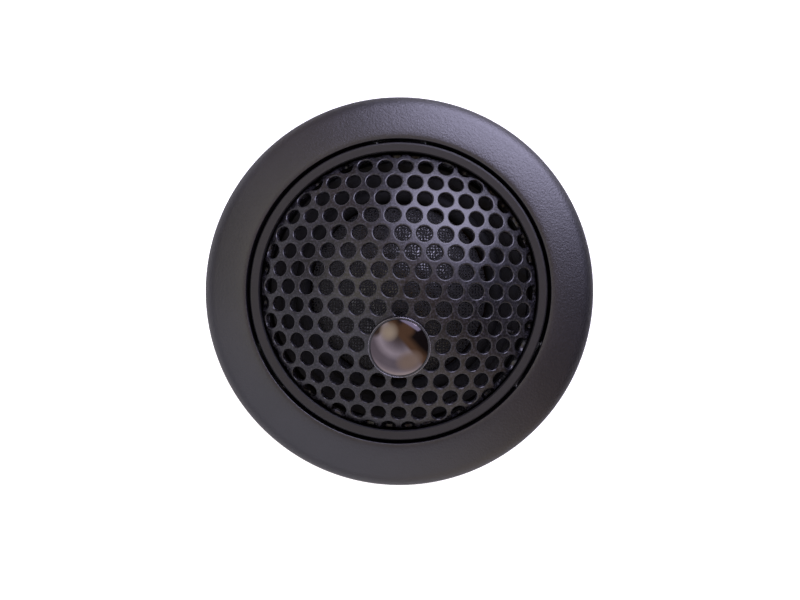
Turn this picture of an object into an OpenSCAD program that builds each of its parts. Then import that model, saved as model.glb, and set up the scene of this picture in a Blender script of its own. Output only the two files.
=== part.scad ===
// Flush-mount dome tweeter: trim ring and collar, spring clips, twist-lock tweeter, moving diaphragm.
// Origin: on the acoustic axis, at the back face of the trim ring, which seats on the panel.
// +Z is the front. Sizes in millimetres, angles in degrees.

/* [Trim ring] */
// Outside diameter of the trim ring
ring_d = 56; // [54:0.5:60]
// Room across, between the coil and the ring's edge, that the walls and steps are given for
room_d = 31; // [30:0.5:32]
// Width of the ring
ring_w = 6.05; // [5.8:0.05:6.3]
// Height of the ring's crest above the panel
ring_h = 3; // [2.8:0.1:3.4]
// Height of the ring's outer edge
ring_edge_h = 1.3; // [1:0.1:1.6]
// Slope of the ring's face at its outer edge, in degrees
ring_slope = 19; // [15:1:22]
// Radius of the lip round the ring's bore
ring_lip_r = 0.3; // [0.2:0.05:0.4]
// Depth of the socket that takes the collar
ring_socket_h = 1.2; // [1:0.1:1.4]

/* [Panel fixing] */
// Overlap of the ring on the panel, outside the hole
panel_lap = 4.5; // [4.2:0.05:4.6]
// Radial clearance of the spigot in the panel hole
panel_gap = 0.25; // [0.15:0.05:0.35]
// Length of the full round spigot
spigot_len = 2; // [1.8:0.1:2.2]
// Wall of the collar
collar_wall = 0.95; // [0.9:0.05:1]
// Step from the collar down to its end in the ring's socket
collar_step = 0.2; // [0.15:0.05:0.3]
// Height of the collar's rear band, which carries the clip pins
band_h = 2.4; // [2.3:0.1:2.8]
// Wall of the collar's rear band
band_wall = 2; // [1.9:0.05:2.1]

/* [Spring clips] */
// Width of a clip
clip_w = 7; // [6:0.25:7.5]
// Thickness of the spring steel
clip_t = 0.4; // [0.3:0.05:0.4]
// Diameter of a clip's pin
clip_pin_d = 0.9; // [0.8:0.05:0.95]
// Length of a pin held in the band at each end
pin_grip = 1.5; // [1.3:0.1:1.8]
// How far the knee of a clip reaches past the edge of the panel hole
clip_reach = 1.4; // [1.3:0.05:1.5]
// How far the tip of a clip leans back in from its knee
clip_tip_in = 0.7; // [0.6:0.05:0.8]
// Depth of a clip's tip below the spigot
clip_tip_drop = 0.8; // [0.7:0.05:0.9]
// Height of a clip's bent tip
clip_tip_h = 1.6; // [1.4:0.1:1.8]
// How much wider a clip's tail is than its slot
clip_tail_extra = 2.4; // [2:0.1:2.6]

/* [Twist lock] */
// Depth of the shoulder, below the panel face, that seats the tweeter
shoulder_depth = 8; // [7.6:0.1:8.2]
// Thickness of the ledge that the lugs hook under
ledge_t = 1.5; // [1.2:0.1:1.6]
// Thickness of a lug
lug_t = 1.5; // [1.2:0.1:1.6]
// Reach of a lug beyond the skirt
lug_reach = 1.7; // [1.4:0.1:1.9]
// Width of a lug, in degrees
lug_arc = 26; // [22:1:26]
// Turn from locked to free, in degrees
lock_turn = 30; // [29:1:31]
// Width of a stop for the lugs, in degrees
stop_arc = 5; // [4:0.5:6]

/* [Tweeter housing] */
// Open gap round the rim
rim_gap = 0.55; // [0.45:0.05:0.6]
// How far the rim's face lies below the ring's crest
rim_drop = 0.3; // [0.1:0.1:0.5]
// Width of the rim's flat face
rim_face_w = 1.4; // [1.3:0.05:1.5]
// Depth of the grille's seat below the rim
seat_depth = 3; // [2.8:0.1:3.2]
// Step from the rim in to the housing's rear skirt
skirt_step = 2.1; // [2:0.05:2.2]
// Wall of the housing
housing_wall = 1.5; // [1.4:0.05:1.6]
// Height of the barrel that guides the tweeter in the collar
guide_h = 2.8; // [2.6:0.1:3]
// Rounding of the rim's outer edge
rim_round = 0.3; // [0.2:0.05:0.4]
// Bevel of the rim's inner edge
rim_bevel = 0.15; // [0.1:0.05:0.2]

/* [Grille] */
// Radius of the grille's dome, outside
grille_r = 31.4; // [30:0.2:34]
// Height of the grille's crown above the rim
grille_crown = 6.3; // [6:0.1:6.6]
// Thickness of the sheet
grille_t = 0.6; // [0.5:0.05:0.7]
// Diameter of a hole
hole_d = 2.3; // [2:0.05:2.4]
// Pitch of the holes along the sheet
hole_pitch = 3.1; // [3:0.05:3.3]
// Turn of the rows of holes, in degrees
grid_turn = -1.6; // [-5:0.2:5]
// Place of the hole nearest the axis, across
grid_x = -0.96; // [-1.2:0.04:-0.7]
// Place of the hole nearest the axis, upwards
grid_y = 0.28; // [0.1:0.04:0.5]

/* [Badge] */
// Diameter of the badge
badge_d = 8.8; // [8:0.1:9.4]
// Height of the badge's tray above the grille
badge_tray_h = 0.9; // [0.8:0.05:1.1]
// Width of the tray's rim
badge_rim_w = 0.3; // [0.25:0.05:0.4]
// Rise of the mirror cap
badge_crown = 1.1; // [0.9:0.05:1.4]
// Diameter of the badge's stud
badge_stud_d = 1.8; // [1.6:0.05:1.9]

/* [Diaphragm] */
// Inside diameter of the voice coil's former
coil_d = 25; // [24.4:0.1:25.2]
// Radius of the silk dome, outside
dome_r = 18; // [17:0.2:20]
// Thickness of the coated silk
silk_t = 0.15; // [0.12:0.01:0.2]
// Wall of the former
former_t = 0.1; // [0.08:0.01:0.15]
// Thickness of the winding
winding_t = 0.35; // [0.3:0.01:0.38]
// Height of the winding
winding_h = 2; // [1.8:0.1:2.4]
// Width of the surround's roll
roll_w = 2.2; // [2:0.05:2.3]
// Height of the ring that the surround is bonded to
land_h = 1.2; // [1:0.1:1.4]

/* [Chassis] */
// Thickness of the lip that clamps the yoke
lip_t = 1; // [0.9:0.05:1.1]
// Reach of the lip over the yoke's bore
lip_open = 0.6; // [0.5:0.05:0.7]
// Depth of the lip below the grille's seat
lip_drop = 0.3; // [0.2:0.05:0.4]
// Height of the ridge between the grille and the diaphragm
ridge_h = 0.7; // [0.6:0.05:0.8]
// Wall of the sleeve round the yoke
sleeve_wall = 1.1; // [1:0.05:1.15]
// Length of the sleeve round the yoke
sleeve_h = 4; // [3.6:0.1:4.4]
// Width of the ribs that carry the chassis
rib_w = 1.6; // [1.4:0.1:2]

/* [Motor] */
// Height of the pole plate
plate_h = 2.5; // [2.2:0.1:2.6]
// Height of the magnet
magnet_h = 4; // [3.8:0.1:4.1]
// Thickness of the yoke's floor
yoke_floor = 3; // [2.8:0.1:3.1]
// Wall of the yoke cup
yoke_wall = 2.1; // [1.8:0.05:2.1]
// How much smaller the magnet's radius is than the pole plate's
magnet_inset = 0.3; // [0.2:0.05:0.4]
// How much smaller the damping pad's radius is than the pole plate's
pad_inset = 2.3; // [2:0.1:3]
// Thickness of the damping pad
pad_t = 1; // [0.8:0.1:1.4]

/* [Rear chamber] */
// Height of the rear cap
cap_h = 5.9; // [5.8:0.1:6.6]
// Wall of the rear cap
cap_wall = 1.3; // [1.2:0.05:1.4]
// Thickness of the rear cap's floor
cap_floor_t = 1.5; // [1.45:0.05:1.7]
// Thickness of the seal
seal_t = 0.5; // [0.4:0.05:0.6]
// Thickness of the felt in the rear chamber
felt_t = 2.5; // [2:0.1:2.7]
// How far the housing's skirt reaches behind the yoke
skirt_over = 0.5; // [0.4:0.05:0.6]
// Diameter of the screws
screw_d = 1.7; // [1.5:0.05:1.8]
// Diameter of a screw's head
screw_head_d = 3.5; // [3.2:0.1:3.6]
// Height of a screw's head
screw_head_h = 1.1; // [0.9:0.05:1.15]
// Diameter of the cable inlet
inlet_d = 2.5; // [2:0.1:2.6]
// Wall of the grommet
grommet_wall = 0.45; // [0.35:0.05:0.5]
// Height of the grommet's flanges
grommet_flange = 0.4; // [0.3:0.05:0.45]

/* [Connection] */
// Width of a terminal lug
tab_w = 4; // [3.6:0.1:4.2]
// Length of a terminal lug
tab_len = 7; // [6.4:0.1:7.2]
// Distance of a terminal lug from the middle
tab_x = 6.5; // [6.2:0.1:6.8]
// How far the board reaches past its lugs at each end
board_edge = 1.5; // [1.3:0.1:1.8]
// Diameter of a rivet
rivet_d = 1.6; // [1.4:0.1:1.8]
// Diameter of a lead wire
wire_d = 0.5; // [0.4:0.05:0.6]

/* [Hidden] */
$fn = 120;
eps = 0.01;
past = 1; // how far a cut runs past the piece it opens

// Clearances, each between the two pieces it names
slide_gap = 0.1;       // housing barrel in the collar's bore
press_gap = 0.05;      // collar in the ring's socket
seat_step = 0.15;      // spigot's shoulder let into the ring's seat
lug_gap = 0.2;         // lugs under the ledge, and above the rear band
skirt_gap = 0.15;      // skirt inside the ledge
stop_gap = 0.5;        // lugs to their stops, in degrees
pin_hole_gap = 0.02;   // clip pins in the collar
eye_gap = 0.05;        // clip eyes on their pins
slot_gap = 0.3;        // clips in their slots, each side
tail_gap = 0.05;       // a clip's tail on its stop
wall_gap = 0.15;       // chassis in the housing
skin_gap = 0.2;        // grille skirt in the housing
coil_gap = 0.2;        // former round the pole plate
gap_out = 0.25;        // winding inside the yoke
land_gap = 0.1;        // surround round the dome
bond_gap = 0.05;       // pieces that are set in a seat
thread_gap = 0.02;     // screws, rivets and studs in their holes
loose_gap = 0.1;       // screws through the rear cap, leads through the chassis
wire_gap = 0.15;       // lead wires along the housing's skirt
land_wall = 0.25;      // chassis between the leads' holes and the diaphragm's ring
boss_gap = 0.1;        // screw bosses behind the yoke
cap_inset = 0.1;       // rear cap in from the skirt, seal in from the rear cap

// Walls and steps between the coil and the ring's edge are drawn to the room these two leave
room = (ring_d - coil_d) / room_d;

// Radii, from the outside in
ring_r = ring_d / 2;
hole_edge = ring_r - panel_lap * room;
bore_r = ring_r - ring_w * room;
rim_r = bore_r - rim_gap;
barrel_r = bore_r - slide_gap;
collar_r = bore_r + collar_wall * room;
socket_r = collar_r - collar_step * room;
spigot_r = hole_edge - panel_gap;
band_r = collar_r - band_wall * room;
skirt_r = rim_r - skirt_step * room;
skirt_in = skirt_r - housing_wall * room;
ledge_r = skirt_r + skirt_gap;
lug_r = skirt_r + lug_reach * room;
well_r = rim_r - rim_face_w * room;
grille_skirt_r = well_r - skin_gap;
chassis_r = well_r - wall_gap;
former_r = coil_d / 2 + former_t;
winding_r = former_r + winding_t;
plate_r = coil_d / 2 - coil_gap;
magnet_r = plate_r - magnet_inset;
yoke_in = winding_r + gap_out;
yoke_r = yoke_in + yoke_wall * room;
sleeve_r = yoke_r + bond_gap + sleeve_wall * room;
roll_in = former_r + silk_t / 2 + land_gap;
roll_r = roll_w * room / 2;
roll_out = roll_in + 2 * roll_r;
lip_r = yoke_in + lip_open;
wire_r = wire_d / 2;
wire_at = skirt_in - wire_gap - wire_r;
land_r = wire_at - wire_r - land_wall;
cap_r = skirt_r - cap_inset;
cap_in = cap_r - cap_wall * room;

// Heights, from the front back
rim_z = ring_h - rim_drop;
crown_z = rim_z + grille_crown;
grille_c = crown_z - grille_r;
seat_z = rim_z - seat_depth;
chassis_top = seat_z + ridge_h;
lip_top = seat_z - lip_drop;
lip_bot = lip_top - lip_t;
land_z = lip_top + land_h;
magnet_top = lip_bot - plate_h;
magnet_bot = magnet_top - magnet_h;
yoke_bot = magnet_bot - yoke_floor;
skirt_bot = yoke_bot - skirt_over;
seal_bot = skirt_bot - seal_t;
cap_bot = seal_bot - cap_h;
cap_floor = cap_bot + cap_floor_t;
shoulder_z = -shoulder_depth;
floor_top = shoulder_z + housing_wall;
guide_top = shoulder_z + guide_h;
ledge_bot = shoulder_z - ledge_t;
lug_top = ledge_bot - lug_gap;
lug_bot = lug_top - lug_t;
band_top = lug_bot - lug_gap;
collar_bot = band_top - band_h;

// Places round the axis, in degrees, and counts
clip_az = 90;
clip_count = 3;
lug_az = clip_az + 45;
lug_count = 3;
screw_az = 90;
screw_count = 3;
boss_share = 0.4; // a boss's place between the yoke and the skirt's outside
wire_az = -20;
inlet_az = -90;
rib_count = 8;

// Clip: pin, knee and tip, as radius and height
pin_r = clip_pin_d / 2;
eye_r = pin_r + eye_gap;
pin_at = [(collar_r + band_r) / 2 - 0.3, band_top - pin_r - 0.35];
tip_at = [hole_edge + clip_reach - clip_tip_in, -spigot_len - clip_tip_drop];
knee_at = tip_at + [clip_tip_in, -clip_tip_h];
foot_x = pin_at[0] + eye_r + clip_t / 2 - 0.05;
slot_w = clip_w + 2 * slot_gap;
slot_in = sqrt(pow(bore_r, 2) - pow(slot_w / 2, 2)) - 0.05;
slot_top = -spigot_len - 0.2;
pin_len = slot_w + 2 * pin_grip;
tail_w = slot_w + clip_tail_extra;
tail_top = pin_at[1] - pin_r - 0.5;
tail_swing = 0.4;
tail_bot = collar_bot + 0.1;
stop_x = foot_x - clip_t / 2 - tail_gap;

// Badge: cell of the grid that its stud passes through
badge_cell = [2, -3];
stud_r = badge_stud_d / 2;
badge_r = badge_d / 2;
cap_seat_r = badge_r - badge_rim_w;
cap_seat_z = badge_tray_h - 0.5;
badge_cap_r = cap_seat_r - bond_gap;
badge_ball_r = (pow(badge_cap_r, 2) + pow(badge_crown, 2)) / (2 * badge_crown);
nut_r = 2.2;
nut_t = 0.35;
nut_top = -grille_t - pow(nut_r, 2) / (2 * (grille_r - grille_t)) - 0.02;

// Rear fixings
screw_r = screw_d / 2 * room;
head_r = screw_head_d / 2 * room;
head_z = cap_bot + 0.2;
boss_top = floor_top - 0.3;
screw_top = boss_top - 0.7;
// the bosses stand between the yoke and the skirt
screw_at = yoke_r + boss_share * (skirt_r - yoke_r);
boss_r = screw_at - yoke_r - boss_gap;
inlet_r = inlet_d / 2;
grommet_neck_r = inlet_r + grommet_wall;
grommet_r = grommet_neck_r + grommet_flange;
// the cable leaves below the collar, and the grommet stays above the cap's foot
inlet_z = collar_bot - inlet_r - 0.35;

// Connection: the board lies on the back of the yoke, its lugs on the board
rivet_r = rivet_d / 2;
board_t = 1;
board_len = 2 * tab_x + tab_w + 2 * board_edge;
board_w = tab_len + 1;
board_y = -5;
board_z = yoke_bot - board_t;
tab_t = 0.5;
tab_z = board_z - tab_t;

function point(r, a) = r * [cos(a), sin(a)];
function arc(c, r, a0, a1, n) = [for (i = [0:n]) c + point(r, a0 + (a1 - a0) * i / n)];
function bezier(a, b, c, d, n) = [
    for (i = [0:n])
        let (t = i / n, u = 1 - t)
            u * u * u * a + 3 * u * u * t * b + 3 * u * t * t * c + t * t * t * d
];
function turned(p, a) = [p[0] * cos(a) - p[1] * sin(a), p[0] * sin(a) + p[1] * cos(a)];
// Centre of a grille hole, on the flat sheet
function cell(i, j) = [grid_x, grid_y] + turned(hole_pitch * [i + j / 2, j * sqrt(3) / 2], grid_turn);
function unit(v) = v / norm(v);
function side(a, b) = let (d = unit(b - a)) [-d[1], d[0]];
// Points of a bent strip's edge, at distance w to the left of its centre line
function edge(p, w) = [
    for (i = [0:len(p) - 1])
        let (n0 = side(p[max(i - 1, 0)], p[max(i, 1)]),
             n1 = side(p[min(i, len(p) - 2)], p[min(i + 1, len(p) - 1)]))
            p[i] + w * (n0 + n1) / (1 + n0 * n1)
];
function reversed(p) = [for (i = [len(p) - 1:-1:0]) p[i]];

module ring_block(r0, r1, z0, z1) {
    rotate_extrude() translate([r0, z0]) square([r1 - r0, z1 - z0]);
}

module arc_block(r0, r1, z0, z1, a0, a1) {
    rotate([0, 0, a0]) rotate_extrude(angle = a1 - a0) translate([r0, z0]) square([r1 - r0, z1 - z0]);
}

module disc(r, z0, z1) {
    translate([0, 0, z0]) cylinder(r = r, h = z1 - z0);
}

module around(n, az) {
    for (i = [0:n - 1]) rotate([0, 0, az + 360 / n * i]) children();
}

module at_screws() {
    around(screw_count, screw_az) translate([screw_at, 0, 0]) children();
}

// Stands a piece on the grille's dome at a point of the flat sheet, with its +Z along the dome's normal
module on_dome(p) {
    translate([0, 0, grille_c])
        rotate([0, 0, atan2(p[1], p[0])])
            rotate([0, norm(p) / grille_r * 180 / PI, 0])
                translate([0, 0, grille_r])
                    children();
}

// A straight round rod between two points
module rod(a, b, r) {
    d = b - a;
    translate(a) rotate([0, acos(d[2] / norm(d)), atan2(d[1], d[0])]) cylinder(r = r, h = norm(d));
}

module trim_ring() {
    edge_round = 0.35;
    edge_c = [ring_r - edge_round, ring_edge_h - edge_round];
    crest = [bore_r + ring_lip_r, ring_h];
    brow = edge_c + point(edge_round, 90 - ring_slope);
    face = bezier(crest, crest + [0.9, 0], brow - point(2.6, -ring_slope), brow, 14);
    color("#2e2d31")
        rotate_extrude()
            polygon(concat(
                // the seat on the panel starts outside the spigot, whose shoulder is let into the ring
                [[ring_r, 0], [spigot_r + seat_step, 0], [spigot_r + seat_step, seat_step],
                 [socket_r + press_gap, seat_step], [socket_r + press_gap, ring_socket_h + press_gap],
                 [bore_r, ring_socket_h + press_gap]],
                arc([bore_r + ring_lip_r, ring_h - ring_lip_r], ring_lip_r, 180, 90, 4),
                [for (i = [1:len(face) - 1]) face[i]],
                [for (i = [1:4]) edge_c + point(edge_round, (90 - ring_slope) * (1 - i / 4))]));
}

// A block that cuts the collar open from its back end up to height z, outwards from x
module cut_block(x, w, z) {
    translate([x, -w / 2, collar_bot - past]) cube([ring_r, w, z - collar_bot + past]);
}

module mounting_collar() {
    lug_lo = lug_az - lug_arc / 2;
    lug_hi = lug_az + lug_arc / 2;
    root = 0.3;
    notch_slack = 1.5;
    color("#26262a")
        difference() {
            union() {
                rotate_extrude()
                    polygon([
                        [bore_r, ring_socket_h], [socket_r, ring_socket_h],
                        [socket_r, seat_step], [spigot_r, seat_step],
                        [spigot_r, -spigot_len], [collar_r, -spigot_len], [collar_r, collar_bot],
                        [band_r, collar_bot], [band_r, band_top], [bore_r, band_top], [bore_r, ledge_bot],
                        [ledge_r, ledge_bot], [ledge_r, shoulder_z], [bore_r, shoulder_z]
                    ]);
                // stops for the lugs, locked and free
                around(lug_count, 0)
                    for (a = [lug_lo - stop_gap - stop_arc, lug_hi + lock_turn + stop_gap])
                        arc_block(ledge_r, bore_r + root, band_top - root, ledge_bot + root,
                                  a, a + stop_arc);
            }
            // notches that let the lugs through the ledge
            around(lug_count, 0)
                arc_block(ledge_r - past, lug_r + skirt_gap, ledge_bot - eps, shoulder_z + past,
                          lug_lo + lock_turn - notch_slack, lug_hi + lock_turn + notch_slack);
            around(clip_count, clip_az) {
                // slot of the clip, open at the back
                cut_block(slot_in, slot_w, slot_top);
                cut_block(band_r - 2 * past, slot_w, band_top + lug_gap / 2);
                // flat that the clip's tail bears on
                cut_block(stop_x, tail_w + 2 * slot_gap, tail_top + tail_swing);
                translate([pin_at[0], 0, pin_at[1]])
                    rotate([90, 0, 0])
                        cylinder(r = pin_r + pin_hole_gap, h = pin_len + 0.1, center = true);
            }
        }
}

module clip_pins() {
    color("#b4b6ba")
        around(clip_count, clip_az)
            translate([pin_at[0], 0, pin_at[1]])
                rotate([90, 0, 0])
                    cylinder(r = pin_r, h = pin_len, center = true);
}

module spring_clip(n) {
    line = [[foot_x, tail_bot], [foot_x, pin_at[1] + 0.6], knee_at, tip_at];
    color("#8f9297")
        rotate([0, 0, clip_az + 360 / clip_count * (n - 1)]) {
            rotate([90, 0, 0])
                linear_extrude(height = clip_w, center = true)
                    difference() {
                        union() {
                            translate(pin_at) circle(r = eye_r + clip_t);
                            polygon(concat(edge(line, clip_t / 2), reversed(edge(line, -clip_t / 2))));
                        }
                        translate(pin_at) circle(r = eye_r);
                    }
            // tail, wider than the slot
            translate([foot_x - clip_t / 2, -tail_w / 2, tail_bot])
                cube([clip_t, tail_w, tail_top - tail_bot]);
        }
}

module housing_shell() {
    root = 0.3;
    color("#333236")
        difference() {
            union() {
                rotate_extrude()
                    polygon(concat(
                        [[well_r, floor_top], [well_r, rim_z - rim_bevel], [well_r + rim_bevel, rim_z]],
                        arc([rim_r - rim_round, rim_z - rim_round], rim_round, 90, 0, 4),
                        [[rim_r, guide_top], [barrel_r, guide_top - (barrel_r - rim_r)],
                         [barrel_r, shoulder_z], [skirt_r, shoulder_z], [skirt_r, skirt_bot],
                         [skirt_in, skirt_bot], [skirt_in, floor_top]]));
                // ribs that carry the chassis
                around(rib_count, 22.5)
                    translate([well_r - rib_w, -rib_w / 2, floor_top - root])
                        cube([rib_w + root, rib_w, lip_bot - floor_top + root]);
                around(lug_count, lug_az)
                    arc_block(skirt_r - root, lug_r, lug_bot, lug_top, -lug_arc / 2, lug_arc / 2);
                // bosses of the rear cap's screws
                at_screws() disc(boss_r, skirt_bot, boss_top);
            }
            at_screws() disc(screw_r + thread_gap, skirt_bot - past, boss_top - 0.3);
        }
}

module grille() {
    inner_r = grille_skirt_r - grille_t;
    // last row: its holes are cut by the skirt
    reach = asin((grille_skirt_r - 0.4) / grille_r) * PI / 180 * grille_r;
    n = ceil(reach / hole_pitch) + 2;
    color("#3d3c42")
        difference() {
            intersection() {
                translate([0, 0, grille_c]) sphere(r = grille_r, $fn = 240);
                disc(grille_skirt_r, seat_z, crown_z + past);
            }
            intersection() {
                translate([0, 0, grille_c]) sphere(r = grille_r - grille_t, $fn = 240);
                disc(inner_r, seat_z - past, crown_z + past);
            }
            for (i = [-n:n], j = [-n:n])
                if (norm(cell(i, j)) < reach)
                    on_dome(cell(i, j))
                        translate([0, 0, -grille_t - past])
                            cylinder(r = hole_d / 2, h = grille_t + 2 * past, $fn = 24);
        }
}

module badge_base() {
    stud_len = grille_t + nut_t + 0.7;
    color("#17171a")
        on_dome(cell(badge_cell[0], badge_cell[1]))
            union() {
                difference() {
                    translate([0, 0, -past]) cylinder(r = badge_r, h = badge_tray_h + past);
                    translate([0, 0, cap_seat_z]) cylinder(r = cap_seat_r, h = badge_tray_h);
                    translate([0, 0, -grille_r]) sphere(r = grille_r + 0.02, $fn = 240);
                }
                translate([0, 0, -stud_len]) cylinder(r = stud_r, h = stud_len + 0.2);
            }
}

module badge_cap() {
    color("#7a6a60")
        on_dome(cell(badge_cell[0], badge_cell[1]))
            translate([0, 0, cap_seat_z])
                rotate_extrude()
                    union() {
                        square([badge_cap_r, badge_tray_h - cap_seat_z]);
                        intersection() {
                            translate([0, badge_tray_h - cap_seat_z - badge_ball_r + badge_crown])
                                circle(r = badge_ball_r);
                            translate([0, (badge_tray_h - cap_seat_z) / 2])
                                square([badge_cap_r, badge_crown + 1]);
                        }
                    }
}

module badge_push_nut() {
    color("#a9abae")
        on_dome(cell(badge_cell[0], badge_cell[1]))
            ring_block(stud_r + thread_gap, nut_r, nut_top - nut_t, nut_top);
}

module chassis() {
    ridge_r = grille_skirt_r - grille_t - 0.7;
    color("#1b1b1e")
        difference() {
            rotate_extrude()
                polygon([
                    [lip_r, lip_bot], [lip_r, lip_top], [land_r + bond_gap, lip_top],
                    [land_r + bond_gap, chassis_top - 0.1], [ridge_r, chassis_top], [ridge_r + 0.5, seat_z],
                    [chassis_r, seat_z], [chassis_r, lip_bot], [sleeve_r, lip_bot],
                    [sleeve_r, lip_bot - sleeve_h], [yoke_r + bond_gap, lip_bot - sleeve_h],
                    [yoke_r + bond_gap, lip_bot]
                ]);
            // holes of the lead wires
            for (a = [wire_az, 180 - wire_az])
                translate([each point(wire_at, a), 0])
                    disc(wire_r + loose_gap, lip_bot - past, chassis_top + past);
        }
}

module diaphragm_ring() {
    color("#2a2a2d") ring_block(roll_out - 0.1, land_r, lip_top, land_z);
}

module surround() {
    color("#202024")
        rotate_extrude()
            union() {
                intersection() {
                    translate([roll_in + roll_r, land_z])
                        difference() {
                            circle(r = roll_r);
                            circle(r = roll_r - silk_t);
                        }
                    translate([roll_in - past, land_z]) square([2 * roll_r + 2 * past, 2 * roll_r]);
                }
                translate([roll_out - silk_t / 2, land_z]) square([land_r - roll_out, silk_t]);
            }
}

module dome() {
    foot_r = former_r + silk_t / 2;
    ball_z = land_z - sqrt(pow(dome_r, 2) - pow(former_r, 2));
    color("#2c2a33")
        rotate_extrude()
            intersection() {
                translate([0, ball_z])
                    difference() {
                        circle(r = dome_r, $fn = 240);
                        circle(r = dome_r - silk_t, $fn = 240);
                    }
                translate([0, land_z]) square([foot_r, dome_r]);
            }
}

module coil_former() {
    color("#c9a25c")
        ring_block(coil_d / 2, former_r, lip_bot - plate_h / 2 - winding_h / 2 - 0.5, land_z);
}

module coil_winding() {
    mid = lip_bot - plate_h / 2;
    color("#b06a35") ring_block(former_r, winding_r, mid - winding_h / 2, mid + winding_h / 2);
}

module damping_pad() {
    color("#3a3a3c") disc(plate_r - pad_inset, lip_bot, lip_bot + pad_t);
}

module pole_plate() {
    color("#a8aaad") disc(plate_r, magnet_top, lip_bot);
}

module magnet() {
    color("#c8cace") disc(magnet_r, magnet_bot, magnet_top);
}

module yoke_cup() {
    bevel = 0.4;
    color("#9fa1a5")
        rotate_extrude()
            polygon([
                [0, yoke_bot], [yoke_r - bevel, yoke_bot], [yoke_r, yoke_bot + bevel], [yoke_r, lip_bot],
                [yoke_in, lip_bot], [yoke_in, magnet_bot], [0, magnet_bot]
            ]);
}

module at_rivets() {
    for (x = [-tab_x, tab_x]) translate([x, board_y, 0]) children();
}

module terminal_board() {
    color("#2f5b3a")
        difference() {
            translate([-board_len / 2, board_y - board_w / 2, board_z])
                cube([board_len, board_w, board_t]);
            at_rivets() disc(rivet_r + thread_gap, board_z - past, yoke_bot + past);
        }
}

module terminal_lugs() {
    color("#c8b560")
        at_rivets()
            difference() {
                translate([-tab_w / 2, -tab_len / 2, tab_z]) cube([tab_w, tab_len, tab_t]);
                disc(rivet_r + thread_gap, tab_z - past, board_z + past);
            }
}

module lug_rivets() {
    color("#b9bbbe")
        at_rivets() {
            disc(rivet_r, tab_z - 0.2, yoke_bot);
            disc(rivet_r + 0.6, tab_z - 0.5, tab_z);
        }
}

module lead_wires() {
    solder = wire_r + 0.1;
    low = tab_z - wire_r;
    top = land_z + silk_t + solder;
    color("#b5763f")
        for (s = [-1, 1]) {
            a = 90 + s * (wire_az - 90);
            out = point(wire_at, a);
            tap = point(land_r - 0.6, a);
            stops = [
                [s * (tab_x + 0.4 * tab_w), out[1], low], [out[0], out[1], low],
                [out[0], out[1], top], [tap[0], tap[1], top]
            ];
            for (k = [0:2]) rod(stops[k], stops[k + 1], wire_r);
            for (k = [1:3]) translate(stops[k]) sphere(r = solder);
        }
}

module chamber_felt() {
    color("#4a4a4c") disc(screw_at - boss_r - 0.9, cap_floor, cap_floor + felt_t);
}

module rear_cap() {
    color("#242428")
        difference() {
            union() {
                rotate_extrude()
                    polygon([
                        [0, cap_bot], [cap_r - 0.5, cap_bot], [cap_r, cap_bot + 0.5], [cap_r, seal_bot],
                        [cap_in, seal_bot], [cap_in, cap_floor], [0, cap_floor]
                    ]);
                intersection() {
                    at_screws() disc(boss_r, cap_floor - 0.2, skirt_bot);
                    disc(skirt_in - bond_gap, cap_bot, skirt_bot);
                }
                at_screws() disc(head_r + 0.5, cap_floor - 0.2, cap_floor + 1);
            }
            at_screws() {
                disc(screw_r + loose_gap, cap_bot, skirt_bot + past);
                disc(head_r + loose_gap, cap_bot - past, head_z + screw_head_h);
            }
            rotate([0, 0, inlet_az])
                translate([0, 0, inlet_z])
                    rotate([0, 90, 0]) {
                        disc(grommet_neck_r + bond_gap, cap_in - past, cap_r + past);
                        // pocket in the floor for the grommet's inner flange
                        disc(grommet_r + bond_gap, cap_in - past, cap_in - 0.05);
                    }
        }
}

module rear_cap_seal() {
    color("#101012") ring_block(cap_in, cap_r - cap_inset, seal_bot, skirt_bot);
}

module rear_cap_screws() {
    color("#8d8f93")
        at_screws()
            difference() {
                union() {
                    disc(head_r, head_z, head_z + screw_head_h);
                    disc(screw_r, head_z, screw_top);
                }
                // cross recess
                for (a = [0, 90])
                    rotate([0, 0, a])
                        translate([0, 0, head_z]) cube([head_r * 1.2, 0.4, screw_head_h], center = true);
            }
}

module cable_grommet() {
    color("#141416")
        rotate([0, 0, inlet_az])
            translate([0, 0, inlet_z])
                rotate([0, 90, 0])
                    difference() {
                        union() {
                            disc(grommet_neck_r, cap_in - 0.9, cap_r + 0.9);
                            disc(grommet_r, cap_r + 0.05, cap_r + 0.9);
                            disc(grommet_r, cap_in - 0.9, cap_in - 0.15);
                        }
                        disc(inlet_r, cap_in - 2 * past, cap_r + 2 * past);
                    }
}

trim_ring();
mounting_collar();
clip_pins();
spring_clip(1);  // spring_clip_1
spring_clip(2);  // spring_clip_2
spring_clip(3);  // spring_clip_3
housing_shell();
grille();
badge_base();
badge_cap();
badge_push_nut();
chassis();
diaphragm_ring();
surround();
dome();
coil_former();
coil_winding();
damping_pad();
pole_plate();
magnet();
yoke_cup();
terminal_board();
terminal_lugs();
lug_rivets();
lead_wires();
chamber_felt();
rear_cap();
rear_cap_seal();
rear_cap_screws();
cable_grommet();
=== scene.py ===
"""Looks of the flush-mount dome tweeter: camera, light, finishes and the detailed pieces."""

import math
import random

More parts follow.
